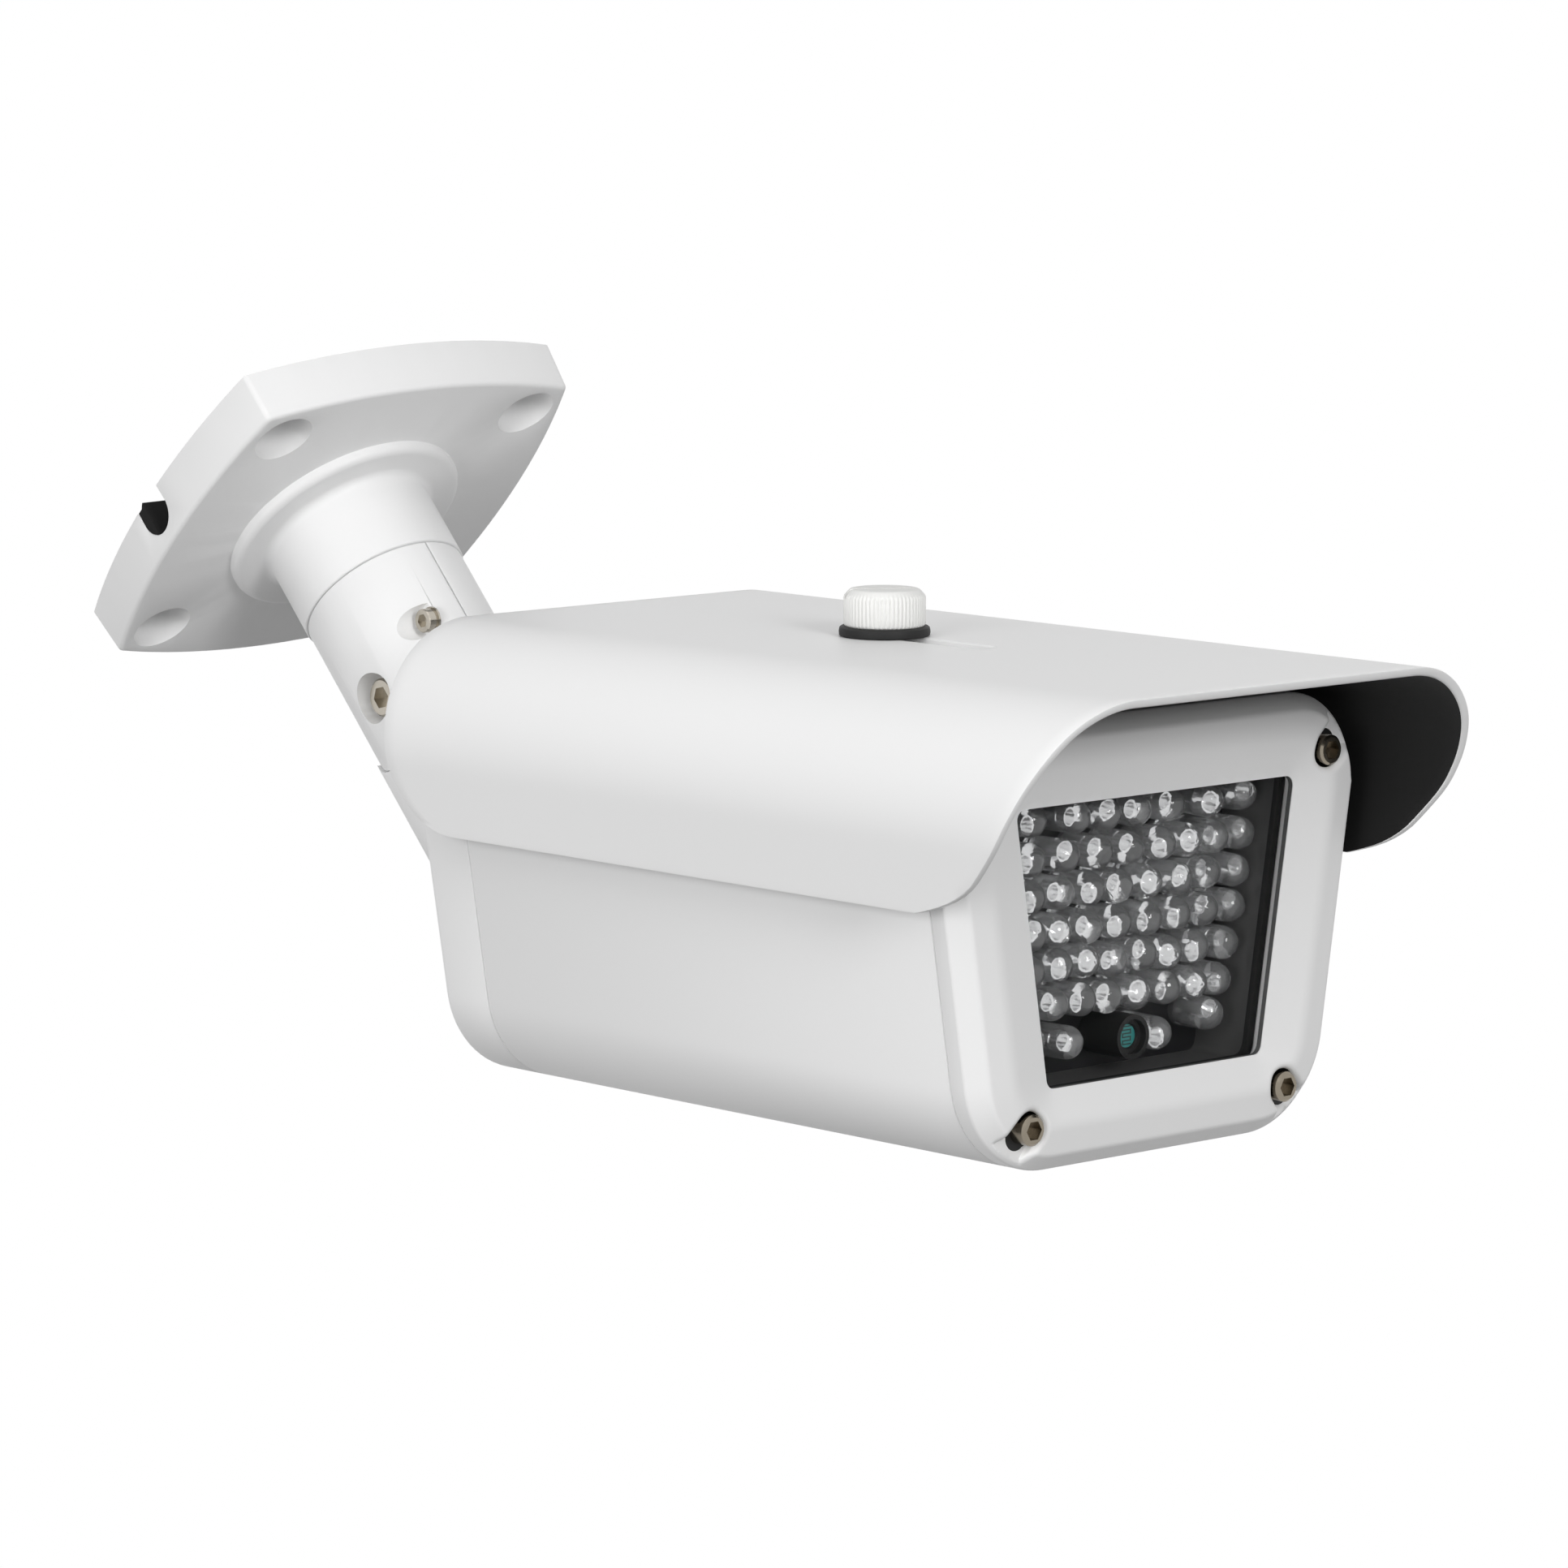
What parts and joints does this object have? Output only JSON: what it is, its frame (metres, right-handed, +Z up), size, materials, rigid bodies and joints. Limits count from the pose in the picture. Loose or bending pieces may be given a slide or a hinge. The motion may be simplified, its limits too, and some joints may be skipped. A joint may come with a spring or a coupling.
{
  "type": "infrared illuminator",
  "caption": "White outdoor infrared lamp: bullet housing with a bent sliding sunshield and a clear window over infrared lamps, on a turning and tilting wall arm",
  "frame": {"origin": "centre of the four wall screw holes, on the wall face of the wall plate", "axes": "+Y runs from the lamp window back to the wall side, along the lamp head; +Z is up; +X is to the right seen from the front"},
  "size_m": [0.093, 0.2402, 0.1084],
  "materials": {
    "white_casting": "satin powder coat",
    "white_tube": "satin powder coat",
    "white_sheet": "satin powder coat",
    "white_plastic": "fine matt",
    "black_foam": "cellular",
    "black_rubber": "matt",
    "stainless": "machined",
    "window_glass": "clear",
    "grey_plastic": "matt",
    "black_board": "solder mask",
    "clear_lamp": "clear resin",
    "sensor_face": "clear coat",
    "green_board": "solder mask",
    "capacitor_sleeve": "shrink sleeve",
    "ferrite": "sintered",
    "black_plastic": "moulded",
    "green_plastic": "moulded",
    "brass": "machined"
  },
  "bodies": {
    "bracket": {"wall_plate": "white_casting", "wall_gasket": "black_foam", "notch_foam": "black_foam", "cable_bush": "black_rubber"},
    "link": {"link_left": "white_casting", "link_right": "white_casting", "link_dowels": "stainless", "clamp_screw": "stainless", "clamp_washer": "stainless", "clamp_lock_washer": "stainless", "tilt_screws": "stainless"},
    "head": {"knuckle": "white_casting", "bezel": "white_casting", "rear_cap": "white_casting", "housing": "white_tube", "knuckle_seal": "black_rubber", "front_seal": "black_rubber", "rear_seal": "black_rubber", "window_gasket": "black_rubber", "sensor_sleeve": "black_rubber", "knuckle_screws": "stainless", "frame_screws": "stainless", "board_screws": "stainless", "driver_posts": "stainless", "driver_screws": "stainless", "bezel_screws": "stainless", "rear_cap_screws": "stainless", "window_glass": "window_glass", "inner_frame": "grey_plastic", "lamp_board": "black_board", "lamps": "clear_lamp", "light_sensor": "sensor_face", "driver_board": "green_board", "capacitors": "capacitor_sleeve", "coil": "ferrite", "regulator": "black_plastic", "terminal_block": "green_plastic", "thumb_insert": "brass"},
    "hood": {"hood": "white_sheet"},
    "thumbscrew": {"thumbscrew": "white_plastic", "thumb_washer": "black_rubber"}
  },
  "joints": [
    {"name": "pan_turn", "type": "hinge", "parent": "bracket", "child": "link", "pos_m": [0, 0, 0], "axis": [0, 0.6802, 0.733], "range_deg": [-180, 180]},
    {"name": "tilt", "type": "hinge", "parent": "link", "child": "head", "pos_m": [0, -0.02992, -0.03224], "axis": [1, 0, 0], "range_deg": [-45, 45]},
    {"name": "hood_slide", "type": "slide", "parent": "head", "child": "hood", "axis": [0, 1, 0], "range_m": [0, 0.02]},
    {"name": "thumb_turn", "type": "hinge", "parent": "head", "child": "thumbscrew", "pos_m": [0, -0.13399, -0.01454], "axis": [0, 0, 1], "continuous": true}
  ]
}
